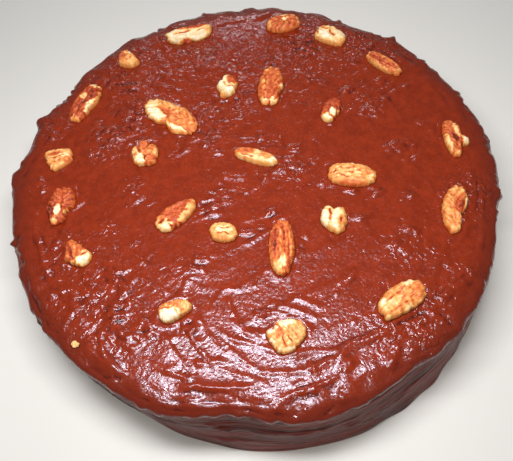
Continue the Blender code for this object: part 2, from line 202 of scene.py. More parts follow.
def press_stroke(height, x, y, stroke, number, wobble):
    """The frosting after one pass: its height goes to the bed's, and a lip is added along each side."""
    along, across = along_and_across(x, y, stroke)
    across = across + wobble * (0.6 + 0.4 * math.sin(number))
    share = across / stroke.half_width
    fade = plateau(-0.06, 0.16, 0.84, 1.06, along)
    drag = np.sin(math.tau * across / DRAG_SPACING + number) + np.sin(FINE_DRAG * across + 2 * number)
    bed = stroke.level + stroke.tilt * share - BED_HOLLOW * (1 - share**2) + DRAG_HEIGHT * drag
    covered = fade * (1 - smoothstep(0.7, 1.08, np.abs(share)))
    uneven = 0.75 + 0.25 * np.sin(11.0 * along + number) + 0.2 * np.sin(29.0 * along + 3 * number)
    lip = stroke.lip * uneven * ridge(across - stroke.half_width, RIDGE_INSIDE, RIDGE_OUTSIDE)
    far_side = ridge(-stroke.half_width - across, RIDGE_INSIDE, RIDGE_OUTSIDE)
    far_lip = FAR_LIP * stroke.lip * uneven * far_side
    return height + covered * (bed - height) + fade * (lip + far_lip)


# %% All the strokes, in the order in which they were made
LOOSE_STROKES, ROW_STROKES = 64, 8
# The ranges of a loose stroke's bow, half width, level, tilt and lip
LOOSE_RANGES = ((-5.0, 7.0), (6.0, 12.0), (-0.12, 0.12), (-0.12, 0.12), (0.05, 0.5))
SIDE_ROWS = ((144.0, 7.0), (135.0, 6.5), (126.0, 6.5), (117.0, 6.0), (107.0, 7.0))
MAIN_ROWS = (
    (-92, -55, -50, -92, -9, 13, 0.07, 0.17, 0.34), (-96, -50, -64, -46, 4, 8, -0.1, -0.21, 0.63),
    (-73, -45, -44, -88, -6, 11, -0.17, 0.24, 0.46), (-24, -62, 4, -88, -7, 9, 0.03, 0.21, 0.46),
    (-36, -66, -2, -98, -9, 8, -0.07, 0.24, 0.5), (-28, -84, 92, -50, -31, 12, 0.21, -0.32, 0.71),
    (2, -60, 24, -74, -1, 5, 0.14, 0.14, 0.5), (-6, -64, 50, -46, 3, 9, 0.03, 0.24, 0.42),
    (16, -101, 36, -92, -2, 6, 0.24, 0.21, 0.46), (-30, 27, 10, 12, -4, 8, -0.07, -0.21, 0.46),
    (-78, 24, -68, 52, 3, 7, 0.03, 0.21, 0.42), (-70, 26, -48, 34, 1, 6, 0.14, 0.14, 0.46),
    (8, 80, 62, 54, 3, 7, 0.0, 0.21, 0.46), (56, 44, 70, 22, 2, 8, 0.0, 0.21, 0.42),
    (-80, -37, -54, -48, 4, 7, 0.1, 0.21, 0.42), (-26, 84, -2, 62, 4, 8, 0.0, -0.21, 0.42),
    (2, -116, 20, -108, 3, 5, 0.25, -0.3, 0.7),
)


def from_rows(kind, rows):
    """Strokes or lines from rows of numbers that begin with the coordinates of both ends."""
    return [kind((a, b), (c, d), *rest) for a, b, c, d, *rest in rows]


def loose_strokes():
    """Short strokes over the whole top, headed round the cake more than across it."""
    draw = np.random.default_rng(STROKE_SEED)
    for _ in range(LOOSE_STROKES):
        reach = FLAT_RADIUS * 1.05 * math.sqrt(draw.uniform(0.01, 1.0))
        place = draw.uniform(0.0, math.tau)
        heading = place + math.pi / 2 + draw.normal(0.0, 0.6)
        half_length = draw.uniform(14.0, 32.0)
        middle, step = polar(reach, place), polar(half_length, heading)
        others = [draw.uniform(low, high) for low, high in LOOSE_RANGES]
        yield Stroke(middle - step, middle + step, *others)


def side_strokes():
    """Level strokes round the side, row by row from the base up. The top row is rolled over the others."""
    draw = np.random.default_rng(STROKE_SEED + 1)
    for row_reach, half_width in SIDE_ROWS:
        for number in range(ROW_STROKES):
            place = math.tau * (number + draw.uniform(-0.2, 0.2)) / ROW_STROKES
            reach = row_reach + draw.uniform(-2.0, 2.0)
            half_angle = math.pi / ROW_STROKES * draw.uniform(1.0, 1.5)
            ends = polar(reach, place + half_angle), polar(reach, place - half_angle)
            bow = reach * (1 - math.cos(half_angle))
            level, tilt, lip = draw.uniform(-0.2, 0.2), draw.uniform(0.0, 0.35), draw.uniform(0.3, 0.9)
            yield Stroke(*ends, bow, half_width * draw.uniform(0.9, 1.1), level, tilt, lip)


ALL_STROKES = (*side_strokes(), *loose_strokes(), *from_rows(Stroke, MAIN_ROWS))
print("strokes:", len(ALL_STROKES))

# %% [markdown]
# ## Lines the knife's edge left
#
# The edge of the blade leaves thin raised lines, steeper on the side that faces the front. They are too
# slight to be strokes of their own, and they show as fine glints or, inside a highlight, as fine dark
# lines. Each runs in an arc from its left end to its right one.


# %% Thin lines
class Line(NamedTuple):
    """A raised line between two points of the chart, bowed to the left: its height and relative width."""

    start: Sequence
    end: Sequence
    bow: float
    height: float
    wide: float = 1.0


EDGE_ROWS = (
    (-69, 26, -54, 32, 0.5, 0.9, 2.2), (-48, 20, -38, 28, -0.2, 0.3), (-16, 33, -6, 44, 0.9, 0.5, 1.4),
    (-16, 30, 2, 34, 0.4, 0.9, 2.0), (-26, 27, -9, 12, -2.0, 0.35), (-16, 2, 0, -1, -1.4, 0.7, 1.8),
    (-1, 3, 8, -5, 1.0, 0.7, 1.8), (3, 21, 16, 21, 0.3, 0.3), (12, 4, 25, -8, 0.2, 0.35),
    (-41, 11, -24, 18, 2.6, 0.3), (-62, 0, -53, 5, -0.1, 0.35), (-60, -8, -50, -6, 0.5, 0.3),
    (-74, -24, -60, -10, -1.7, 0.3), (-21, -9, -11, -10, -0.3, 0.35), (-8, -25, 10, -21, -0.4, 0.35),
    (-75, 25, -74, 43, 1.5, 0.3), (-53, 65, -43, 66, -1.8, 0.7, 1.4), (-72, 66, -52, 62, -2.0, 0.5),
    (-13, 72, -4, 65, -0.4, 0.5), (37, 66, 51, 58, 0.1, 0.5), (61, 43, 68, 25, -1.6, 0.5, 1.3),
    (55, -43, 68, -51, 2.8, 0.7, 1.8), (66, -20, 75, -17, -1.6, 0.7, 1.6), (66, -26, 75, -41, -2.6, 0.35),
    (28, -66, 44, -52, -0.2, 0.4), (66, -70, 91, -55, -1.5, 0.45), (1, -65, 24, -75, 0.8, 0.6, 1.5),
    (-16, -56, -8, -57, -0.9, 0.45), (-6, -93, 20, -94, -2.0, 0.55), (16, -95, 58, -80, 0.4, 0.55),
    (52, -84, 90, -52, -4.0, 0.3), (-34, -70, -21, -91, -1.5, 0.45), (-24, -89, -1, -98, -1.2, 0.45),
    (-21, -77, -2, -96, -0.8, 0.4), (-16, -69, 0, -82, -1.6, 0.4), (17, -94, 35, -94, 1.8, 0.35),
    (5, -105, 26, -107, 2.6, 0.5), (-8, -101, -1, -102, 3.2, 0.35), (-2, -103, -7, -101, 3.0, 0.35),
    (-14, -105, -9, -103, 2.4, 0.3), (9, -103, 15, -102, 2.6, 0.3), (-62, -64, -50, -54, 0.8, 0.35),
    (-66, -58, -56, -78, -2.0, 0.3), (-101, -52, -83, -49, -1.2, 1.0, 1.5),
    (-87, -71, -79, -58, 1.0, 0.8, 1.3), (-70, -68, -60, -92, -3.0, 0.9, 1.3),
    (-71, -92, -59, -93, 1.0, -0.7, 0.9), (17, -115, 26, -107, -1.0, -1.0, 0.9),
    (26, -106, 28, -109, 0.5, 1.1, 1.3), (48, -100, 54, -85, -1.2, 0.9, 1.3),
    (73, -73, 92, -61, 1.5, 0.9, 1.6), (48, -82, 72, -74, 0.6, -0.6), (80, -84, 72, -74, 0.5, -0.6, 0.9),
    (-2, -114, -18, -113, 2.0, 0.7, 1.4),
)
LINE_BACK, LINE_FRONT = 1.1, 0.75
SHORT_LINES, RIM_LINES, CALM = 480, 110, 0.12
# Places where the knife stopped and turned: middle, width in mm and how much. The second set is for the
# finish alone.
RESTLESS = (
    (-60, 78, 20, 0.9), (-20, 84, 16, 0.8), (20, 76, 18, 0.9), (60, 88, 24, 0.9), (0, 44, 9, 0.9),
    (-52, 44, 12, 0.9), (-72, 24, 10, 0.8), (-22, 30, 10, 0.6), (20, 0, 9, 0.5), (98, -20, 14, 0.7),
    (-104, 44, 12, 0.8), (-76, -62, 20, 0.5), (-34, -44, 9, 0.2), (66, -84, 16, 0.5), (64, 34, 8, 0.6),
    (-90, -30, 10, 0.5),
)
STREAKED = (
    (76, -49, 8, 0.5), (88, -57, 7, 0.5), (74, -70, 8, 0.5), (62, -43, 8, 0.4), (50, -79, 7, 0.4),
    (107, -20, 6, 0.4), (71, -35, 6, 0.3), (-58, -3, 7, 0.5), (-68, -21, 7, 0.5), (-102, 5, 6, 0.5),
    (89, 15, 6, 0.3),
)


def bells(places, x, y):
    """The sum of soft bells, each with its middle, its width in mm and its height."""
    return sum(much * bump(np.hypot(x - left, y - front), 0.0, wide) for left, front, wide, much in places)


def unrest(x, y):
    """How often the knife turned near a place, 0 to 1: a little everywhere and more round a few."""
    return np.minimum(CALM + bells(RESTLESS, x, y), 1.0)


def short_lines():
    """Seeded short lines over the top, three side by side in a cluster, most where it is restless."""
    draw = np.random.default_rng(STROKE_SEED + 8)
    for _ in range(SHORT_LINES):
        reach, place = FLAT_RADIUS * math.sqrt(draw.uniform(0.0, 1.0)), draw.uniform(0.0, math.tau)
        middle, step = polar(reach, place), polar(1.0, draw.normal(0.1, 0.5))
        if draw.uniform() > unrest(*middle):
            continue
        for _ in range(3):
            half = draw.uniform(1.5, 5.0)
            shift = draw.uniform(-4.0, 4.0, 2)
            ends = middle + shift - half * step, middle + shift + half * step
            yield Line(*ends, draw.uniform(-1.2, 1.2), draw.uniform(0.3, 0.9), draw.uniform(1.0, 1.5))


def rim_lines():
    """Seeded lines round the slope and the side, each along the rim or nearly so."""
    draw = np.random.default_rng(STROKE_SEED + 9)
    for _ in range(RIM_LINES):
        reach, place = draw.uniform(100.0, 148.0), draw.uniform(0.0, math.tau)
        half_angle = draw.uniform(6.0, 24.0) / reach
        lean = draw.normal(0.0, 2.0)
        ends = polar(reach - lean, place - half_angle), polar(reach + lean, place + half_angle)
        bow = -reach * (1 - math.cos(half_angle))
        yield Line(*ends, bow, draw.uniform(0.3, 0.9), draw.uniform(0.9, 1.6))


ALL_LINES = (*rim_lines(), *short_lines(), *from_rows(Line, EDGE_ROWS))


def press_line(height, x, y, line):
    """Adds one line: a ridge with a long back and a steep front, fading out at both ends."""
    middle, half = (np.array(line.start) + line.end) / 2, math.dist(line.start, line.end) / 2
    near = np.hypot(x - middle[0], y - middle[1]) < 1.2 * half + 3.0 * line.wide + 2.0
    along, across = along_and_across(x[near], y[near], line)
    fade = plateau(-0.05, 0.25, 0.7, 1.05, along)
    broken = 0.75 + 0.25 * np.sin(9.0 * along + line.start[0]) * np.sin(23.0 * along)
    height = height.copy()
    profile = ridge(-across, LINE_BACK * line.wide, LINE_FRONT * line.wide)
    height[near] += line.height * fade * broken * profile
    return height


# %% The fold along the front
FOLD_TURNS = (-160.0, -136.0, -121.0, -109.0, -102.0, -92.0, -80.0, -70.0, -61.0, -40.0)
FOLD_REACHES = (120.0, 119.0, 118.0, 117.5, 116.5, 117.0, 118.0, 117.5, 118.0, 121.0)
FOLD_DEPTH, FOLD_SWELL = 1.2, 0.35


def fold(x, y):
    """Where the top's frosting laps over the side's at the front: a soft swelling and a steep step down."""
    reach, turn = np.hypot(x, y), np.degrees(np.arctan2(y, x))
    line = np.interp(turn, FOLD_TURNS, FOLD_REACHES) + 0.5 * waves(x, y, 9.0, STROKE_SEED + 7)
    there = plateau(-163.0, -138.0, -60.0, -42.0, turn)
    step = plateau(line - 0.2, line + 1.2, line + 6.0, line + 20.0, reach)
    return there * (FOLD_SWELL * bump(reach, line - 1.6, 1.8) - FOLD_DEPTH * step)


print("thin lines:", len(ALL_LINES))

# %% [markdown]
# ## The height map and the skin
#
# The relief starts as low lumps, takes every stroke and line in turn, and gets wrinkles, a rumpled edge,
# small peaks where the knife lifted off, and the fold. The skin is the plain form moved out by that relief,
# square to its surface, with an edge that stands out here and there as the cake's does.

# %% Relief over the chart
LUMP_HEIGHT, LUMP_SIZE = 0.12, 36.0
RAGGED_EDGE, RUMPLED_EDGE, WRINKLE_HEIGHT = 0.8, 0.22, 0.16
PEAKS, WOBBLE, BASE_FADE = 150, 0.7, 8.0
SMOOTH_TURN, SMOOTH_WIDTH = -95.0, 55.0


def peaks(x, y):
    """Small peaks left where the knife lifted off: seeded bells 1 to 2 mm wide."""
    draw = np.random.default_rng(STROKE_SEED + 6)
    total = np.zeros_like(x)
    for _ in range(PEAKS):
        reach, place = FLAT_RADIUS * 1.1 * math.sqrt(draw.uniform(0.0, 1.0)), draw.uniform(0.0, math.tau)
        spot = polar(reach, place)
        away = np.hypot(x - spot[0], y - spot[1])
        total += draw.uniform(0.1, 0.35) * bump(away, 0.0, draw.uniform(0.8, 1.6))
    return total


def wrinkles(x, y):
    """Creased skin: smooth noise folded at its zeros, so that it meets in sharp lines, in two sizes."""
    wide = np.abs(waves(x, 1.4 * y, 11.0, STROKE_SEED + 13))
    narrow = np.abs(waves(x, 1.3 * y, 5.5, STROKE_SEED + 14))
    return -WRINKLE_HEIGHT * unrest(x, y) * (np.exp(-3.0 * wide) + 0.6 * np.exp(-3.0 * narrow))


def relief(x, y):
    """Height of the frosting over the plain cake, in millimetres, at a point of the chart."""
    height = LUMP_HEIGHT * waves(x, y, LUMP_SIZE, STROKE_SEED + 2)
    wobble = WOBBLE * waves(x, y, 16.0, STROKE_SEED + 5)
    for number, stroke in enumerate(ALL_STROKES):
        height = press_stroke(height, x, y, stroke, number, wobble)
    for line in ALL_LINES:
        height = press_line(height, x, y, line)
    reach = np.hypot(x, y)
    rumpled = RUMPLED_EDGE * bump(reach, 113.0, 8.0) * waves(x, y, 11.0, STROKE_SEED + 11)
    height = height + wrinkles(x, y) + rumpled + peaks(x, y) + fold(x, y)
    return height * (1 - smoothstep(CHART_RADIUS - BASE_FADE, CHART_RADIUS, reach))


def cake_skin(x, y):
    """The frosted skin in space, in millimetres, at a point of the chart. Its edge is calmest in front."""
    reach, place = np.hypot(x, y), np.arctan2(y, x)
    (radius, height), swing, rise = plain_skin(reach), slope(reach), relief(x, y)
    lip = LIP_REACH * bump(height, 0.0, LIP_HEIGHT) * (0.6 + 0.4 * waves(x, y, 30.0, STROKE_SEED + 4))
    at_base = smoothstep(118.0, CHART_RADIUS, reach)
    edge = smoothstep(99.0, EDGE_REACH, reach)
    quiet = bump(degrees_from(np.degrees(place), SMOOTH_TURN), 0.0, SMOOTH_WIDTH)
    rough = (1 - 0.75 * quiet) * smoothstep(-0.9, 1.3, waves(x, y, 26.0, STROKE_SEED + 12))
    ragged = waves(x, y, 12.0, STROKE_SEED + 3) + 0.7 * waves(x, y, 5.0, STROKE_SEED + 10)
    ragged = RAGGED_EDGE * rough * ragged * ridge(reach - EDGE_REACH, 9, 3)
    rim = edge * ((1 - at_base) * stands_out(place, RIM_MARKS) + ragged)
    radius = radius + rim + at_base * stands_out(place, BASE_MARKS) + rise * np.sin(swing) + lip
    height = np.maximum(height + rise * np.cos(swing), 0.0)
    return np.stack((radius * np.cos(place), radius * np.sin(place), height), axis=-1)


print("skin at the middle, mm:", cake_skin(np.zeros(1), np.zeros(1)).round(1))

# %% [markdown]
# ## The pecans as numbers
#
# A shelled pecan breaks into halves and chips. Seen from above each is an oval with straight breaks and
# bites out of it. The outer side has furrows along its length, and the inner side has a channel and ribs
# across it. The thin skin is brown, and where it is broken or rubbed off, pale flesh shows.


# %% Each piece of pecan
class Nut(NamedTuple):
    """Place in mm, turn in degrees, size, form, breaks and skin. Its patches and creases are in hundredths.

    A cut is a facing and how far out it is. A notch is a facing, a depth and a spread. A patch is a place
    along and across, its half length and half width, all as shares of the piece's half size, and how much
    skin it has. A crease runs between two such places and has a width in mm.
    """

    x: float
    y: float
    turn: float
    length: float
    width: float
    height: float
    form: str
    bend: float = 0.0
    roll: float = 0.0
    cuts: tuple = ()
    notches: tuple = ()
    tone: float = 0.4
    patches: tuple = ()
    creases: tuple = ()


NUTS = (
    Nut(-27.1, 95.9, 10, 26.0, 9.8, 5.0, "chunk", bend=1.4, roll=24, notches=((-78, 0.24, 13),), tone=0.08,
        patches=((40, 80, 70, 40, 78), (-35, 85, 30, 25, 55), (85, -10, 20, 60, 30), (-20, -80, 26, 25, 62)),
        creases=((-35, -70, -2, -70, 0.7), (-70, 20, 10, 30, 0.4), (30, 10, 75, 20, 0.3))),
    Nut(-60.9, 81.5, -20, 14.2, 10.4, 4.6, "chunk", cuts=((200, 0.74), (58, 0.66), (150, 0.82)),
        patches=((-45, 10, 50, 80, 62), (25, 40, 50, 14, 10), (50, -50, 40, 40, 30)),
        creases=((-55, -40, -15, 20, 0.4), (0, -50, 30, 0, 0.3))),
    Nut(-82.2, 53.4, 64, 25.6, 11.2, 4.1, "ridged", notches=((-120, 0.24, 34), (35, 0.06, 18)), tone=0.7,
        patches=((45, -40, 35, 50, 80), (95, 0, 20, 80, 8), (60, -95, 50, 20, 30), (20, 30, 16, 30, 20),
            (-15, -75, 35, 35, 8), (-100, -20, 20, 60, 28)),
        creases=((-60, 10, 20, 0, 0.5),)),
    Nut(-38.0, 38.8, -39, 32.0, 14.2, 3.8, "ribbed",
        notches=((-86, 0.27, 20), (-50, -0.12, 14), (64, -0.12, 24)), tone=0.46,
        patches=((-90, 10, 35, 90, 16), (-45, -50, 40, 50, 4), (-30, 70, 50, 30, 32), (-10, 0, 30, 25, 58),
            (30, 10, 40, 30, 44), (70, -72, 50, 25, 6)),
        creases=((-40, 5, 12, -35, 0.35), (-30, 15, 50, -5, 0.3), (-20, 10, 40, 40, 0.25),
            (30, -50, 95, -40, 0.35))),
    Nut(-8.2, 54.6, -104, 14.8, 10.0, 4.5, "chunk", cuts=((40, 0.9),),
        notches=((-86, -0.14, 14), (-41, 0.28, 12), (79, 0.2, 16), (-131, 0.22, 12)), tone=0.08,
        patches=((-55, 40, 60, 60, 72), (0, -50, 40, 40, 0), (55, 50, 55, 55, 0), (85, -30, 25, 30, 30)),
        creases=((-15, -35, 10, 0, 0.5), (10, 0, 20, 90, 0.5))),
    Nut(-93.5, 19.4, 2, 16.4, 14.4, 3.4, "ridged", cuts=((0, 0.8), (92, 0.84), (-156, 0.72), (-62, 0.7)),
        tone=0.32,
        patches=((-20, 30, 40, 14, 68), (35, 15, 35, 12, 5), (60, -25, 30, 30, 48), (-20, -50, 50, 30, 34)),
        creases=((-80, 30, 30, 50, 0.35), (-60, -5, 50, 20, 0.35), (-40, -40, 40, -10, 0.3))),
    Nut(-50.9, 17.2, -86, 15.6, 13.0, 4.5, "chunk", cuts=((-4, 0.86),),
        notches=((146, 0.28, 14), (-149, 0.24, 12), (60, 0.06, 14)), tone=0.56,
        patches=((-70, 0, 30, 25, 64), (-20, -80, 35, 25, 24), (50, -35, 40, 40, 5), (10, 85, 30, 20, 25),
            (60, 60, 30, 35, 60)),
        creases=((-60, -40, 15, -30, 0.6), (-70, 40, -10, 30, 0.6), (15, -5, 85, 10, 0.5),
            (30, 40, 60, 75, 0.4))),
    Nut(-90.2, -7.2, -96, 19.4, 12.6, 4.0, "ribbed",
        notches=((36, 0.5, 15), (62, 0.34, 12), (-16, -0.12, 10)), tone=0.66,
        patches=((38, -15, 32, 24, 0), (50, -75, 50, 30, 84), (95, -60, 12, 60, 18), (42, 75, 12, 50, 10)),
        creases=((0, -45, 75, -45, 0.5),)),
    Nut(2.6, 9.4, -23, 21.8, 7.8, 4.0, "ridged", roll=-14, cuts=((-95, 0.92),), tone=0.36,
        patches=((-50, 20, 40, 60, 60), (40, 30, 25, 45, 42), (10, -75, 100, 40, 12), (5, 20, 12, 50, 16),
            (88, -20, 22, 60, 2)),
        creases=((-70, -50, 0, -55, 0.4),)),
    Nut(-36.9, -18.4, 39, 23.6, 11.4, 4.3, "chunk", cuts=((180, 0.9), (72, 0.82)), notches=((128, 0.12, 16),),
        tone=0.72,
        patches=((25, -95, 40, 40, 25), (67, -60, 25, 35, 30), (95, 0, 20, 80, 50), (-75, -50, 36, 85, 4),
            (-50, 30, 12, 30, 50), (10, 50, 30, 20, 62)),
        creases=((-80, 35, -45, -20, 0.8), (-50, -80, -42, -90, 0.8))),
    Nut(-15.1, -30.0, -16, 13.0, 9.6, 3.8, "chunk", notches=((205, 0.1, 16),), tone=0.34,
        patches=((0, 12, 55, 36, 8), (0, -85, 70, 30, 42), (-80, -20, 20, 30, 34)),
        creases=((-50, -42, 60, -15, 0.35), (-30, 35, 40, 40, 0.25))),
    Nut(24.8, 97.0, 5, 18.6, 11.4, 4.1, "ribbed", notches=((88, 0.08, 14),), tone=0.56,
        patches=((10, 80, 25, 30, 20), (60, 75, 40, 25, 25), (95, 0, 15, 60, 32), (10, 20, 16, 20, 12),
            (-90, 0, 20, 50, 34)),
        creases=((-70, 10, -5, 25, 0.5), (-55, -35, -5, 5, 0.35), (-10, -70, 10, 0, 0.35),
            (40, -60, 25, 0, 0.35), (75, -15, 30, 20, 0.45), (-25, 70, 0, 40, 0.35))),
    Nut(48.8, 84.9, -37, 18.2, 11.8, 4.5, "chunk", cuts=((175, 0.9), (-82, 0.84)), tone=0.16,
        patches=((-70, 60, 30, 35, 45), (-95, -20, 15, 60, 50), (10, 75, 30, 25, 28), (-20, -30, 40, 40, 2),
            (50, 30, 35, 40, 8), (90, -40, 20, 50, 34)),
        creases=((-80, 30, -10, 25, 0.7), (-10, 25, 35, -10, 0.8), (-85, -30, -60, -55, 0.6))),
    Nut(73.9, 62.1, -47, 22.6, 7.4, 4.1, "ridged", bend=0.4, roll=10, cuts=((180, 0.94),), tone=0.54,
        patches=((-90, -20, 14, 80, 12), (-20, -15, 50, 25, 66), (95, 0, 14, 80, 32), (10, 85, 80, 20, 40),
            (10, -90, 80, 20, 36)),
        creases=((-70, 35, 75, 40, 0.35), (-70, -35, 70, -45, 0.35), (-75, 0, 60, 0, 0.4))),
    Nut(13.9, 52.5, -101, 26.6, 13.0, 4.0, "ribbed", cuts=((0, 0.92),), notches=((52, 0.2, 18),), tone=0.57,
        patches=((-10, -50, 14, 30, 34), (0, 15, 60, 30, 62), (88, -45, 20, 45, 14), (85, 35, 20, 30, 2),
            (0, 92, 14, 20, 10), (-85, -50, 20, 40, 40)),
        creases=((75, 0, 100, 0, 0.6), (-60, -50, 10, -40, 0.4), (10, 50, 60, 35, 0.4))),
    Nut(42.6, 33.7, -120, 14.6, 9.0, 4.1, "chunk", notches=((62, 0.2, 18), (118, 0.1, 16)), tone=0.76,
        patches=((30, 40, 30, 45, 4), (85, 0, 30, 70, 4), (10, 95, 30, 20, 30)),
        creases=((55, 0, 65, 70, 0.5), (-30, 50, 30, 75, 0.5))),
    Nut(46.4, -5.5, -12, 23.6, 12.2, 4.1, "ridged", cuts=((184, 0.95),), tone=0.36,
        patches=((-15, 0, 55, 45, 26), (-95, 0, 14, 90, 18), (0, 90, 70, 20, 30), (10, -95, 60, 30, 58),
            (80, -40, 10, 50, 12), (60, 20, 20, 40, 40)),
        creases=((-60, 32, 20, 42, 0.4), (20, 42, 42, 0, 0.35), (-60, 32, -66, -20, 0.45),
            (-66, -20, 0, -45, 0.45), (-35, 0, 10, 5, 0.3))),
    Nut(98.9, 10.6, -87, 21.4, 9.6, 4.0, "ribbed", bend=-0.6,
        notches=((24, 0.4, 14), (66, -0.42, 18), (104, 0.28, 16)), tone=0.54,
        patches=((-40, -55, 40, 30, 60), (-30, 30, 40, 20, 18), (10, 0, 25, 30, 85), (35, -80, 45, 25, 14),
            (60, 0, 25, 30, 60), (95, 0, 15, 70, 28), (40, 95, 35, 45, 2)),
        creases=((-30, -20, 30, 15, 0.6), (10, 50, 70, 42, 0.9))),
    Nut(90.6, -28.2, -107, 25.4, 10.6, 4.1, "ribbed", bend=1.2, cuts=((78, 0.96),),
        notches=((50, 0.24, 22), (128, -0.14, 22)),
        patches=((-10, 35, 35, 40, 70), (-20, 100, 80, 16, 8), (42, 80, 28, 35, 5), (95, -20, 16, 80, 20),
            (-75, -40, 20, 40, 34)),
        creases=((-60, 75, 30, 60, 0.5), (-50, -40, -30, 30, 0.3), (0, -50, 15, 30, 0.3),
            (35, -60, 50, 20, 0.3))),
    Nut(35.2, -28.2, -96, 15.0, 12.0, 4.3, "chunk", cuts=((-42, 0.84),), notches=((178, 0.34, 18),),
        tone=0.22,
        patches=((0, -75, 60, 40, 0), (-30, 25, 45, 20, 5), (30, 0, 45, 20, 5), (35, 65, 50, 40, 44),
            (-50, 75, 30, 30, 36), (95, 10, 15, 40, 26)),
        creases=((-70, -30, 30, -30, 0.8), (-20, 55, 60, 45, 0.4))),
    Nut(10.4, -39.9, -94, 27.6, 11.8, 4.8, "ridged", notches=((205, 0.06, 16), (32, 0.1, 20)), tone=0.58,
        patches=((5, 55, 45, 22, 46), (-10, -60, 40, 20, 74), (55, 5, 25, 20, 5), (85, -40, 30, 45, 22),
            (0, 0, 50, 15, 46)),
        creases=((-80, -42, 35, -55, 0.6), (-80, 10, 40, 20, 0.45), (-60, 50, 80, 55, 0.45))),
    Nut(-81.6, -33.5, -72, 15.2, 14.0, 4.3, "chunk", cuts=((120, 0.6), (-44, 0.76), (-108, 0.72)), tone=0.6,
        patches=((-10, -30, 50, 14, 72), (45, 75, 35, 40, 14), (70, 25, 30, 40, 2), (75, -50, 25, 40, 24),
            (0, -90, 30, 20, 30), (-10, 60, 20, 14, 80)),
        creases=((-70, -30, 50, -30, 0.5), (20, 75, 50, 20, 0.5))),
    Nut(-38.0, -65.3, 11, 15.8, 9.6, 4.5, "chunk", cuts=((185, 0.86), (-70, 0.8)),
        patches=((-10, 75, 70, 30, 52), (40, 20, 30, 50, 50), (75, 10, 30, 60, 30), (-35, -40, 62, 75, 0)),
        creases=((-80, 35, 10, 30, 0.4),)),
    Nut(8.4, -80.6, 11, 17.8, 14.4, 4.0, "ribbed", cuts=((196, 0.84), (-54, 0.84)), notches=((132, 0.2, 14),),
        tone=0.29,
        patches=((15, 75, 40, 28, 0), (-60, 60, 35, 25, 0), (-80, -30, 20, 35, 3), (-30, -95, 60, 25, 5),
            (-30, 25, 20, 25, 46), (90, 0, 15, 60, 24)),
        creases=((-35, 90, -20, 35, 0.6), (-10, 20, -30, -70, 0.35), (10, 30, 10, -70, 0.35),
            (30, 35, 50, -50, 0.35))),
    Nut(58.1, -69.6, 30, 24.6, 13.0, 4.3, "ridged", bend=-0.6, cuts=((178, 0.93), (-100, 0.94)), tone=0.42,
        patches=((-80, 60, 30, 30, 5), (-90, -60, 20, 40, 10), (-40, 10, 40, 30, 22), (60, 65, 30, 20, 10),
            (-5, -80, 25, 20, 16), (-40, -50, 30, 30, 42), (75, -20, 30, 60, 46)),
        creases=((-50, 45, 40, 42, 0.35), (-60, -30, 10, -45, 0.35), (20, -40, 55, -20, 0.25))),
)
NUT_BELLY, NUT_LIFT = 2.4, 0.7
NUT_SQUARENESS, BREAK_CRISPNESS = 2.3, 10
CREASE_SHADE, GROOVE_DEPTH = 0.7, 0.2
FURROWS = ((0.0, 0.09, 0.7), (0.34, 0.06, 0.5), (-0.38, 0.07, 0.6), (0.68, 0.06, 0.4), (-0.7, 0.05, 0.4))
print("pecan pieces:", len(NUTS))


# %% Outline and moulding of a piece
def nut_outline(nut, angle):
    """Distance from the middle to the edge: a squared-off oval, cut by breaks and bitten by notches."""
    ahead, aside = np.abs(np.cos(angle) / (nut.length / 2)), np.abs(np.sin(angle) / (nut.width / 2))
    edge = (ahead**NUT_SQUARENESS + aside**NUT_SQUARENESS) ** (-1 / NUT_SQUARENESS)
    for facing, share in nut.cuts:
        turn = math.radians(facing)
        across = (math.cos(turn) * 2 / nut.length, math.sin(turn) * 2 / nut.width)
        straight = share / math.hypot(*across) / np.maximum(np.cos(angle - turn), 0.05)
        edge = (edge**-BREAK_CRISPNESS + straight**-BREAK_CRISPNESS) ** (-1 / BREAK_CRISPNESS)
    for facing, depth, spread in nut.notches:
        away = (angle - math.radians(facing) + math.pi) % math.tau - math.pi
        edge = edge * (1 - depth * bump(away, 0.0, math.radians(spread)))
    return edge


def creases(nut, x, y):
    """How deep a place lies in the piece's creases: a bell of the distance to a wandering, broken line."""
    deep = np.zeros_like(x)
    broken = 0.7 + 0.3 * smoothstep(-0.7, 0.7, waves(x + nut.x, y + nut.y, 3.5, 41))
    x = x + 0.22 * waves(x + nut.x, y + nut.y, 5.0, 42)
    y = y + 0.22 * waves(x + nut.x, y + nut.y, 4.0, 43)
    for *ends, width in nut.creases:
        along_a, across_a, along_b, across_b = np.array(ends) / 100
        start = np.array((along_a * nut.length, across_a * nut.width)) / 2
        step = np.array((along_b * nut.length, across_b * nut.width)) / 2 - start
        share = np.clip(((x - start[0]) * step[0] + (y - start[1]) * step[1]) / (step @ step), 0.0, 1.0)
        away = np.hypot(x - start[0] - share * step[0], y - start[1] - share * step[1])
        deep = np.maximum(deep, bump(away, 0.0, width) * (1 - 0.7 * (2 * share - 1) ** 4))
    return broken * deep


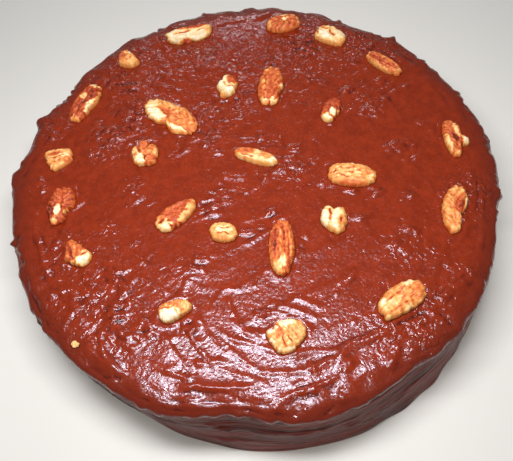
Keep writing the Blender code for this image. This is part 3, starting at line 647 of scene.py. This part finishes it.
def nut_crown(nut, x, y, seed):
    """Share of a piece's height and depth in a groove, at a place in millimetres from its middle."""
    along, across = 2 * x / nut.length, 2 * y / nut.width
    lumps = 0.06 * waves(x, y, 5.0, seed) + 0.03 * waves(x, y, 2.2, seed + 1)
    wander = 0.08 * waves(x, 0 * y, 7.0, seed + 2)
    groove = creases(nut, x, y)
    if nut.form == "ridged":
        narrow = 1 - 0.45 * along**2
        broken = 0.6 + 0.4 * waves(x, y, 4.0, seed + 3)
        furrows = sum(deep * bump(across, line * narrow + wander, width) for line, width, deep in FURROWS)
        groove = np.maximum(groove, furrows * np.clip(broken, 0, 1.2))
        crown = 1.0
    elif nut.form == "ribbed":
        pitch = math.tau / (3.4 + 0.5 * math.sin(nut.x))
        ribs = np.sin(pitch * (x + 0.9 * np.abs(y)) + 1.4 * waves(x, y, 9.0, seed + 4))
        lobes = plateau(0.1, 0.4, 0.85, 1.05, np.abs(across))
        channel = bump(across, wander, 0.16)
        groove = np.maximum(groove, np.maximum(0.35 * channel, 0.7 * lobes * smoothstep(-0.2, -1.1, ribs)))
        crown = 0.92 + 0.1 * bump(np.abs(across), 0.6, 0.3) + 0.04 * ribs * lobes
    else:
        crown = 0.94 + 0.05 * waves(x, y, 6.0, seed + 5)
    return crown + lumps - GROOVE_DEPTH * groove, np.clip(groove, 0, 1)


def nut_skin(nut, x, y, seed):
    """How much brown skin covers a place, from 0 for bare flesh to 1. Patches are laid on in order."""
    along, across = 2 * x / nut.length, 2 * y / nut.width
    rough = waves(x, y, 2.4, seed + 6) + 0.6 * waves(x, y, 1.1, seed + 7)
    skin = np.full_like(x, nut.tone)
    for patch in nut.patches:
        spot_along, spot_across, half_long, half_wide, much = np.array(patch) / 100
        away = np.hypot((along - spot_along) / half_long, (across - spot_across) / half_wide)
        skin += (much - skin) * (1 - smoothstep(0.75, 1.2, away + 0.1 * rough))
    return np.maximum(skin, CREASE_SHADE * creases(nut, x, y)) + 0.05 * rough


end_and_side = nut_outline(NUTS[0], np.array((0.0, math.pi / 2)))
print("first piece, mm from its middle to its end and side:", end_and_side.round(1))

# %% [markdown]
# ## Seats
#
# A piece lies on the mean height of the frosting under it, turned and rolled as it fell. The frosting below
# is pressed down to clear its belly and swells a little round its edge, so that the two never pass through
# each other and the nut looks set in, not laid on.


# %% Where a piece rests
def nut_frame(nut):
    """Origin in millimetres and the three axes of a piece, as the rows of a turning matrix."""
    heading, roll = math.radians(nut.turn), math.radians(nut.roll)
    ahead = polar(nut.length, heading)
    left = nut.width * np.array((-math.sin(heading), math.cos(heading)))
    spots = np.array([a * ahead + b * left for a in (-0.3, 0, 0.3) for b in (-0.3, 0, 0.3)]) + (nut.x, nut.y)
    height = cake_skin(spots[:, 0], spots[:, 1])[:, 2].mean() + NUT_LIFT
    turn = Matrix.Rotation(heading, 3, "Z") @ Matrix.Rotation(roll, 3, "X")
    return np.array((nut.x, nut.y, height)), np.array(turn).T


NUT_FRAMES = [nut_frame(nut) for nut in NUTS]
SEAT_GAP, SWELL = 0.12, 0.3


def seat_nuts(points):
    """Frosting points moved straight down below each piece's belly, and up a little in a ring round it."""
    for nut, (origin, axes) in zip(NUTS, NUT_FRAMES):
        near = np.hypot(*(points[:, :2] - origin[:2]).T) < nut.length
        local = (points[near] - origin) @ axes.T
        local[:, 1] -= nut.bend * ((2 * local[:, 0] / nut.length) ** 2 - 0.5)
        share = np.hypot(local[:, 0], local[:, 1]) / nut_outline(nut, np.arctan2(local[:, 1], local[:, 0]))
        belly = -NUT_BELLY * np.sqrt(np.maximum(1 - np.minimum(share, 1.0) ** 2.6, 0.0)) - SEAT_GAP
        uneven = 0.5 + 0.5 * waves(*points[near, :2].T, 7.0, 9)
        ring = SWELL * bump(share, 1.1, 0.14) * (share >= 1.0) * uneven
        press = np.where(share < 1.0, np.maximum(local[:, 2] - belly, 0.0), 0.0)
        points[near, 2] += ring - press
    return points


print("height of the first seat, mm:", NUT_FRAMES[0][0].round(1))

# %% [markdown]
# ## The frosting's mesh
#
# A square grid is bent into a disc for the top, which keeps its cells even and has no crowded pole, and
# rings of cells go on from its rim down the slope and the side. The last ring is closed by one face, the
# underside. Each cell is about a millimetre, fine enough for the ridges.

# %% A disc of cells with rings round it
TOP_CELLS, RIM_RINGS = 240, 42


def square_to_disc(u, v):
    """Sends a square from -1 to 1 to the unit disc: its larger coordinate becomes the radius."""
    wide = np.abs(u) > np.abs(v)
    reach, other = np.where(wide, u, v), np.where(wide, v, u)
    turn = math.pi / 4 * np.divide(other, reach, out=np.zeros_like(reach), where=reach != 0)
    angle = np.where(wide, turn, math.pi / 2 - turn)
    return reach * np.cos(angle), reach * np.sin(angle)


def bands(loops):
    """The four-cornered cells between closed loops of points. Each loop is a row of point numbers."""
    after = np.roll(loops, -1, 1)
    return np.stack((loops[:-1], loops[1:], after[1:], after[:-1]), axis=-1).reshape(-1, 4)


def chart_grid():
    """Chart points of the disc and its rings, the four-cornered cells between them, and the last ring."""
    steps = np.linspace(-1, 1, TOP_CELLS + 1)
    u, v = np.meshgrid(steps, steps, indexing="ij")
    top = np.stack(square_to_disc(u, v), axis=-1) * FLAT_RADIUS
    index = np.arange(top[..., 0].size).reshape(top.shape[:2])
    cells = np.stack((index[:-1, :-1], index[1:, :-1], index[1:, 1:], index[:-1, 1:]), axis=-1).reshape(-1, 4)
    rim = np.concatenate((index[:-1, 0], index[-1, :-1], index[:0:-1, -1], index[0, :0:-1]))
    reaches = np.linspace(FLAT_RADIUS, CHART_RADIUS, RIM_RINGS + 1)[1:]
    around = top.reshape(-1, 2)[rim] / FLAT_RADIUS
    rings = (reaches[:, None, None] * around).reshape(-1, 2)
    loops = np.vstack((rim, index.size + np.arange(len(rings)).reshape(RIM_RINGS, -1)))
    return np.vstack((top.reshape(-1, 2), rings)), np.vstack((cells, bands(loops))), loops[-1]


def into_scene(name, data):
    """An object with this data, linked into the scene."""
    thing = bpy.data.objects.new(name, data)
    bpy.context.scene.collection.objects.link(thing)
    return thing


def make_piece(name, points, face_groups):
    """A smooth mesh object from points in millimetres and arrays of faces with equal numbers of corners."""
    data = bpy.data.meshes.new(name)
    corners = np.concatenate([faces.ravel() for faces in face_groups])
    sizes = np.concatenate([np.full(len(faces), faces.shape[1]) for faces in face_groups])
    data.vertices.add(len(points))
    data.vertices.foreach_set("co", (points * MM).ravel())
    data.loops.add(len(corners))
    data.loops.foreach_set("vertex_index", corners)
    data.polygons.add(len(sizes))
    data.polygons.foreach_set("loop_start", np.cumsum(sizes) - sizes)
    data.update(calc_edges=True)
    data.shade_smooth()
    return into_scene(name, data)


def give_values(thing, **layers):
    """Stores named layers of one number per vertex, for a material to read."""
    for name, values in layers.items():
        layer = thing.data.attributes.new(name, "FLOAT", "POINT")
        layer.data.foreach_set("value", np.ascontiguousarray(values, dtype=np.float32))


# %% The frosting
chart, cells, last_ring = chart_grid()
skin = seat_nuts(cake_skin(chart[:, 0], chart[:, 1]))
frosting = make_piece("frosting", skin, (cells, last_ring[None, ::-1]))
print("frosting points and cells:", len(skin), len(cells))


# %% Hollows and crests
HOLLOW_FULL = 0.25


def read(rows, key, width, kind=np.float32):
    """One property of a mesh's points or edges, as an array with that many columns."""
    values = np.empty(len(rows) * width, kind)
    rows.foreach_get(key, values)
    return values.reshape(-1, width)


def hollows(data, rounds):
    """How many millimetres each point lies below the smoothed mean of its neighbours, along its normal."""
    points, normals = read(data.vertices, "co", 3) / MM, read(data.vertices, "normal", 3)
    pairs = read(data.edges, "vertices", 2, np.int32)
    pairs = np.vstack((pairs, pairs[:, ::-1]))
    degree = np.bincount(pairs[:, 0])
    mean = points
    for _ in range(rounds):
        sums = [np.bincount(pairs[:, 0], mean[pairs[:, 1], k]) for k in range(3)]
        mean = np.stack(sums, axis=-1) / degree[:, None]
    return ((mean - points) * normals).sum(axis=1)


sink = hollows(frosting.data, rounds=3)
# Painted shade: the rim value darkens the frosting along the slope of the edge, and the hollow value darkens
# it in the hollows between strokes.
give_values(
    frosting,
    hollow=np.clip(sink / HOLLOW_FULL, -1, 1),
    rim=smoothstep(FLAT_RADIUS - 2.0, EDGE_REACH + 1.0, np.hypot(*chart.T)),
    unrest=np.minimum(unrest(*chart.T) + bells(STREAKED, *chart.T), 1.0),
)
print("hollows in mm:", sink.min().round(2), sink.max().round(2))

# %% [markdown]
# ## The pecans' meshes
#
# Every piece starts as the rings of a ball. A ring's distance from the axis becomes a share of the outline,
# the upper half is raised by the crown's furrows, ribs or lumps, and the lower half is the smooth belly.

# %% A ball's rings
NUT_SEGMENTS, NUT_RINGS = 88, 44


def ball_grid():
    """Unit ball: rows of points from pole to pole and its faces, three-cornered at the poles."""
    fall = np.linspace(0, math.pi, NUT_RINGS + 1)[1:-1, None]
    turn = np.linspace(0, math.tau, NUT_SEGMENTS, endpoint=False)
    z = np.cos(fall) + 0 * turn
    ring = np.stack((np.sin(fall) * np.cos(turn), np.sin(fall) * np.sin(turn), z), axis=-1).reshape(-1, 3)
    points = np.vstack(((0, 0, 1), ring, (0, 0, -1)))
    index = 1 + np.arange(len(ring)).reshape(NUT_RINGS - 1, NUT_SEGMENTS)
    after = np.roll(index, -1, 1)
    north = np.stack((0 * index[0], index[0], after[0]), axis=-1)
    south = np.stack((index[-1], 0 * index[0] + len(points) - 1, after[-1]), axis=-1)
    return points, (bands(index), north, south)


def nut_shape(nut, number, ball):
    """Points of a piece in its own frame, and its skin and groove values, with painted shade near the
    outline.
    """
    seed = 20 * number
    angle = np.arctan2(ball[:, 1] * nut.width, ball[:, 0] * nut.length)
    reach = np.minimum(np.hypot(ball[:, 0], ball[:, 1]), 1.0)
    edge = nut_outline(nut, angle)
    ragged = 1 + 0.022 * waves(edge * np.cos(angle), edge * np.sin(angle), 2.6, seed + 8)
    x, y = reach * edge * ragged * np.cos(angle), reach * edge * ragged * np.sin(angle)
    thickness = (1 - reach**5) ** 0.5
    crown, groove = nut_crown(nut, x, y, seed)
    skin = nut_skin(nut, x, y, seed)
    crumbs = 0.07 * waves(x, y, 1.2, seed + 9) * (1 - 0.6 * smoothstep(0.1, 0.5, skin))
    top = thickness * ((nut.height - NUT_LIFT) * (0.97 * crown) + crumbs)
    z = np.where(ball[:, 2] > 0, top, -thickness * NUT_BELLY)
    y = y + nut.bend * ((2 * x / nut.length) ** 2 - 0.5)
    # Painted shade: bare flesh near the outline, on the sides turned from the light, is tinted towards yellow
    # and tan.
    skin = skin + 0.26 * smoothstep(0.82, 1.0, reach) * (1 - smoothstep(0.1, 0.5, skin))
    return np.stack((x, y, z), axis=-1), skin, groove * (0.35 + 0.65 * smoothstep(0.05, 0.4, skin))


# %% All the pieces
ball, ball_faces = ball_grid()
nuts = []
for number, (nut, (origin, axes)) in enumerate(zip(NUTS, NUT_FRAMES), start=1):
    points, skin_cover, groove = nut_shape(nut, number, ball)
    piece = make_piece(f"pecan_piece_{number:02d}", points @ axes + origin, ball_faces)
    give_values(piece, skin=skin_cover, groove=groove)
    nuts.append(piece)
print("nut pieces:", len(nuts), "with", len(ball), "points each")

# %% [markdown]
# ## A crumb
#
# One crumb of nut, smaller than a berry, broke off and stuck to the frosting at the front left. It is the
# same ball, flattened and made lumpy by noise, and it lies on the frosting where it fell.

# %% The crumb
CRUMB_PLACE, CRUMB_TURN, CRUMB_SIZE = (-80.6, -75.6), -48.0, (1.8, 1.3, 0.9)
CRUMB_LIFT, CRUMB_TONE = 0.8, 0.24
lumps = 1 + 0.14 * waves(2.2 * ball[:, 0], 2.2 * ball[:, 1] + ball[:, 2], 2.4, 31)
spin = np.array(Matrix.Rotation(math.radians(CRUMB_TURN), 3, "Z")).T
rest = cake_skin(*np.array([CRUMB_PLACE]).T)[0] + (0, 0, CRUMB_LIFT)
fallen_crumb = make_piece("pecan_crumb", (ball * CRUMB_SIZE * lumps[:, None]) @ spin + rest, ball_faces)
give_values(fallen_crumb, skin=np.full(len(ball), CRUMB_TONE), groove=np.zeros(len(ball)))
print("crumb at:", rest.round(1))

# %% [markdown]
# ## Colours and nodes
#
# Colours are picked as the eye sees them, as sRGB hex, and turned to the linear values that a shader wants.
# One function adds any node, with its settings and links, and hands back the output that the next node
# reads.


# %% Colour and node helpers
def linear(colour):
    """sRGB hex to linear RGBA: each channel c becomes ((c + 0.055) / 1.055) to the power 2.4."""
    channels = [int(colour[k : k + 2], 16) / 255 for k in (0, 2, 4)]
    return (*[c / 12.92 if c <= 0.04045 else ((c + 0.055) / 1.055) ** 2.4 for c in channels], 1.0)


def feed(node, inputs):
    """Gives a node's inputs their values by name. An output of another node is linked to the input."""
    for key, value in inputs.items():
        if isinstance(value, bpy.types.NodeSocket):
            node.id_data.links.new(value, node.inputs[key])
        else:
            node.inputs[key].default_value = value


def add_node(tree, kind, inputs=None, out=None, **settings):
    """Adds a node with its settings and inputs. Returns the output of that name, or the first in use."""
    node = tree.nodes.new("ShaderNode" + kind)
    for key, value in settings.items():
        setattr(node, key, value)
    feed(node, inputs or {})
    return node.outputs[out] if out else next(socket for socket in node.outputs if socket.enabled)


def new_material(name):
    """An empty material's tree and its Principled shader."""
    material = bpy.data.materials.new(name)
    material.use_nodes = True
    return material, material.node_tree, material.node_tree.nodes["Principled BSDF"]


print("linear cream:", [round(c, 2) for c in linear("F2DDAE")])

# %% [markdown]
# ## Chocolate frosting
#
# Butter, cocoa and icing sugar, spread while soft: it dries to a thin glossy skin over a slightly grainy
# body. The skin gives small hard glints on every ridge, and a faint duller sheen round them. The grain
# breaks a large highlight into speckles. Colour is a red brown with a fine mottle. Painted shade darkens it
# along the slope of the edge, and most in the hollows between strokes, where less light gets in.

# %% Frosting material
MOTTLE_SIZE, SPECK_SIZE, GRAIN_SIZE, TEAR_SIZE = 4.5, 1.0, 1.2, 4.0
GRAIN_RELIEF, TEAR_RELIEF = 0.1, 2.2
frosting_finish, tree, shader = new_material("spread_chocolate_frosting")
place = add_node(tree, "TexCoord", out="Object")
patches = add_node(
    tree, "TexNoise", {"Vector": place, "Scale": 1 / (MOTTLE_SIZE * MM), "Detail": 4.0, "Roughness": 0.7}
)
mottle = add_node(tree, "MapRange", {"Value": patches, "From Min": 0.33, "From Max": 0.67})
rim, hollow, restless = [
    add_node(tree, "Attribute", out="Fac", attribute_name=name) for name in ("rim", "hollow", "unrest")
]
# Painted shade in the hollows between strokes: the deeper the hollow, the darker the colour.
depth = add_node(tree, "MapRange", {"Value": hollow, "From Min": 0.2, "From Max": 1.0})
colour = linear("75230B")
# Painted shade: the rim value darkens the colour along the slope of the edge, and the hollow value darkens it
# in the hollows.
for factor, tint in ((mottle, "8A2C10"), (rim, "6C2413"), (depth, "4A130C")):
    colour = add_node(tree, "Mix", {"Factor": factor, "A": colour, "B": linear(tint)}, data_type="RGBA")
specks = add_node(tree, "TexNoise", {"Vector": place, "Scale": 1 / (SPECK_SIZE * MM), "Detail": 2.0})
gloss = add_node(
    tree, "MapRange", {"Value": specks, "From Min": 0.42, "From Max": 0.62, "To Min": 0.08, "To Max": 0.3}
)
grain = add_node(tree, "TexNoise", {"Vector": place, "Scale": 1 / (GRAIN_SIZE * MM), "Detail": 1.0})
fine = add_node(tree, "Bump", {"Height": grain, "Distance": GRAIN_RELIEF * MM})
tears = add_node(
    tree,
    "TexNoise",
    {"Vector": place, "Scale": 1 / (TEAR_SIZE * MM), "Detail": 1.5, "Roughness": 0.55, "Distortion": 0.8},
)
torn = add_node(tree, "Math", {0: tears, 1: restless}, operation="MULTIPLY")
coarse = add_node(tree, "Bump", {"Height": torn, "Distance": TEAR_RELIEF * MM, "Normal": fine})
feed(
    shader,
    {
        "Base Color": colour, "Roughness": gloss, "Normal": coarse, "IOR": 1.47, "Specular IOR Level": 0.5,
        "Specular Tint": linear("E4ECFF"), "Coat Weight": 0.12, "Coat Roughness": 0.4, "Coat IOR": 1.4,
        "Coat Normal": coarse,
    },
)
frosting.data.materials.append(frosting_finish)
print("frosting nodes:", len(tree.nodes))

# %% [markdown]
# ## The wiped side
#
# Round the side the blade was drawn level and left a thinner, duller coat, streaked along the rim. Its
# colours are much darker than the top's: painted shade, for the shade the side stands in. The noise is
# squeezed in height, so that it runs in level streaks.

# %% Side material
SIDE_REACH, STREAK_RELIEF = 118.3, 1.2
STREAKS_PER_METRE = (28.0, 28.0, 420.0)
side_finish, tree, shader = new_material("wiped_frosting_painted_shade")
place = add_node(tree, "TexCoord", out="Object")
squeezed = add_node(tree, "Mapping", {"Vector": place, "Scale": STREAKS_PER_METRE})
streaks = add_node(tree, "TexNoise", {"Vector": squeezed, "Scale": 1.0, "Detail": 3.0, "Roughness": 0.6})
spread = add_node(tree, "MapRange", {"Value": streaks, "From Min": 0.35, "From Max": 0.65})
# Painted shade: both streak colours are far darker than the top's frosting, for the shade the side stands in.
tints = {"Factor": spread, "A": linear("3C110A"), "B": linear("7E2413")}
colour = add_node(tree, "Mix", tints, data_type="RGBA")
drawn = add_node(tree, "Bump", {"Height": streaks, "Distance": STREAK_RELIEF * MM})
feed(
    shader,
    {"Base Color": colour, "Normal": drawn, "Roughness": 0.3, "IOR": 1.47, "Specular IOR Level": 0.13},
)
frosting.data.materials.append(side_finish)
on_side = np.append(np.hypot(*chart[cells].mean(axis=1).T) > SIDE_REACH, True)
frosting.data.polygons.foreach_set("material_index", on_side.astype(np.int32))
print("cells of the side:", int(on_side.sum()))

# %% [markdown]
# ## Roasted pecan
#
# The skin is a dry, thin brown film, darkest in its furrows and creases, and the flesh under it is cream
# and crumbly. Where the film is rubbed thin the flesh shows through it in tan and orange. Both are dull,
# with a faint oily sheen. The pieces carry values for how much skin they have and how deep their grooves
# are, and noise at the size of the skin's flecks roughens the borders between the tones.

# %% Pecan material
SKIN_SHADES = (
    (0.0, "F0E4CE"), (0.2, "EDCB8D"), (0.4, "E29F58"), (0.6, "D06C36"), (0.8, "AC4222"), (1.0, "6A2410"),
)
FLECK_SIZE, ROUGH_SIZE, ROUGH_RELIEF = 1.6, 0.9, 0.25
pecan_finish, tree, shader = new_material("roasted_pecan")
place = add_node(tree, "TexCoord", out="Object")
fleck = add_node(
    tree, "TexNoise", {"Vector": place, "Scale": 1 / (FLECK_SIZE * MM), "Detail": 4.0, "Roughness": 0.6}
)
cover = add_node(tree, "Attribute", out="Fac", attribute_name="skin")
groove = add_node(tree, "Attribute", out="Fac", attribute_name="groove")
shift = add_node(tree, "Math", {0: fleck, 1: 0.5, 2: -0.22}, operation="MULTIPLY_ADD")
flecked = add_node(tree, "Math", {0: cover, 1: shift}, operation="ADD")
furrowed = add_node(tree, "Math", {0: groove, 1: 0.3, 2: flecked}, operation="MULTIPLY_ADD", use_clamp=True)
shades = add_node(tree, "ValToRGB", {"Fac": furrowed})
stops = shades.node.color_ramp.elements
for spot, _ in SKIN_SHADES[1:-1]:
    stops.new(spot)
for stop, (_, shade) in zip(stops, SKIN_SHADES):
    stop.color = linear(shade)
crumbly = add_node(tree, "TexNoise", {"Vector": place, "Scale": 1 / (ROUGH_SIZE * MM), "Detail": 2.0})
rough = add_node(tree, "Bump", {"Height": crumbly, "Distance": ROUGH_RELIEF * MM, "Strength": 0.7})
feed(
    shader,
    {"Base Color": shades, "Normal": rough, "Roughness": 0.45, "IOR": 1.47, "Specular IOR Level": 0.3},
)
for piece in [*nuts, fallen_crumb]:
    piece.data.materials.append(pecan_finish)
print("pecan nodes:", len(tree.nodes))

# %% [markdown]
# ## Into the frame
#
# The frosting stands for the solid cake and each fine nut for its plain one. All pieces ride on the one
# body, the crumb too, which stands for no solid.

# %% Replacing the plain solids
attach(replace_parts(frosting, "frosted_cake"), "root")
for number, piece in enumerate(nuts, start=1):
    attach(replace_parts(piece, f"pecan_{number:02d}"), "root")
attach(fallen_crumb, "root")

# %% [markdown]
# ## Floor, light and camera
#
# A plain pale floor. A low lamp near the front and a larger one high above it put the wide highlight on the
# front of the top. A low wide lamp and a strip behind the cake draw the glints of the back, and a small
# lamp at the camera gives the nuts its flash. The camera looks down at 62 degrees.

# %% Floor
FLOOR_HALF, FLOOR_DROP = 4000.0, 0.05
floor_corners = np.array([(-1, -1), (1, -1), (1, 1), (-1, 1)]) * FLOOR_HALF
floor_points = np.column_stack((floor_corners, np.full(4, -FLOOR_DROP)))
floor = make_piece("floor", floor_points, (np.array([[0, 1, 2, 3]]),))
floor_finish, tree, shader = new_material("plain_pale_floor")
feed(shader, {"Base Color": linear("E8E6E2"), "Roughness": 0.7})
floor.data.materials.append(floor_finish)


# %% Lights
LAMP_TARGET = (0.0, 0.0, 0.03)


def aim(thing, place, target):
    """Puts a lamp at a place and points it at a target, both in metres."""
    back = np.array(place, float) - target
    back /= np.linalg.norm(back)
    right = np.cross((0.0, 1.0, 0.0) if abs(back[2]) > 0.9 else (0.0, 0.0, 1.0), back)
    right /= np.linalg.norm(right)
    turn = Matrix(np.column_stack((right, np.cross(back, right), back)))
    thing.matrix_world = Matrix.LocRotScale(place, turn, None)


def soft_light(name, place, size, power, colour):
    """A lamp with a width and a depth, which gives shadows soft edges and highlights its own shape."""
    lamp = bpy.data.lights.new(name, "AREA")
    lamp.shape, lamp.energy, lamp.color = "RECTANGLE", power, linear(colour)[:3]
    lamp.size, lamp.size_y = size
    aim(into_scene(name, lamp), place, LAMP_TARGET)


soft_light("near", (-0.02, -0.052, 0.3), (0.18, 0.05), 0.84, "FFFFFF")
soft_light("overhead", (-0.04, 0.1, 1.24), (0.3, 0.2), 2.1, "FFFFFF")
soft_light("behind", (0.0, 0.95, 0.36), (1.1, 0.26), 0.25, "FFFFFF")
soft_light("far_strip", (0.0, 0.9, 0.56), (0.3, 0.05), 0.95, "FFFFFF")
soft_light("camera_side", (0.0, -0.175, 0.335), (0.04, 0.04), 0.25, "FFFAF2")
world = bpy.data.worlds.new("pale_room")
bpy.context.scene.world = world
world.use_nodes = True
feed(world.node_tree.nodes["Background"], {"Color": linear("F4F2F0"), "Strength": 0.14})

# %% Camera
SENSOR_WIDTH, PICTURE_WIDTH, FOCAL_PIXELS = 36.0, 513.0, 605.0
camera_data = bpy.data.cameras.new("camera")
camera_data.sensor_width, camera_data.lens = SENSOR_WIDTH, FOCAL_PIXELS * SENSOR_WIDTH / PICTURE_WIDTH
camera_data.clip_start, camera_data.clip_end = 0.01, 20.0
camera = into_scene("camera", camera_data)
camera_axes = np.column_stack(((0.9959, -0.0798, -0.0426), (0.0904, 0.8787, 0.4688), (0.0, -0.4707, 0.8823)))
camera.matrix_world = Matrix.LocRotScale((-0.00011, -0.1588, 0.28441), Matrix(camera_axes), None)
bpy.context.scene.camera = camera
bpy.context.scene.view_settings.view_transform = "Standard"
print("camera at", [round(v, 3) for v in camera.location])
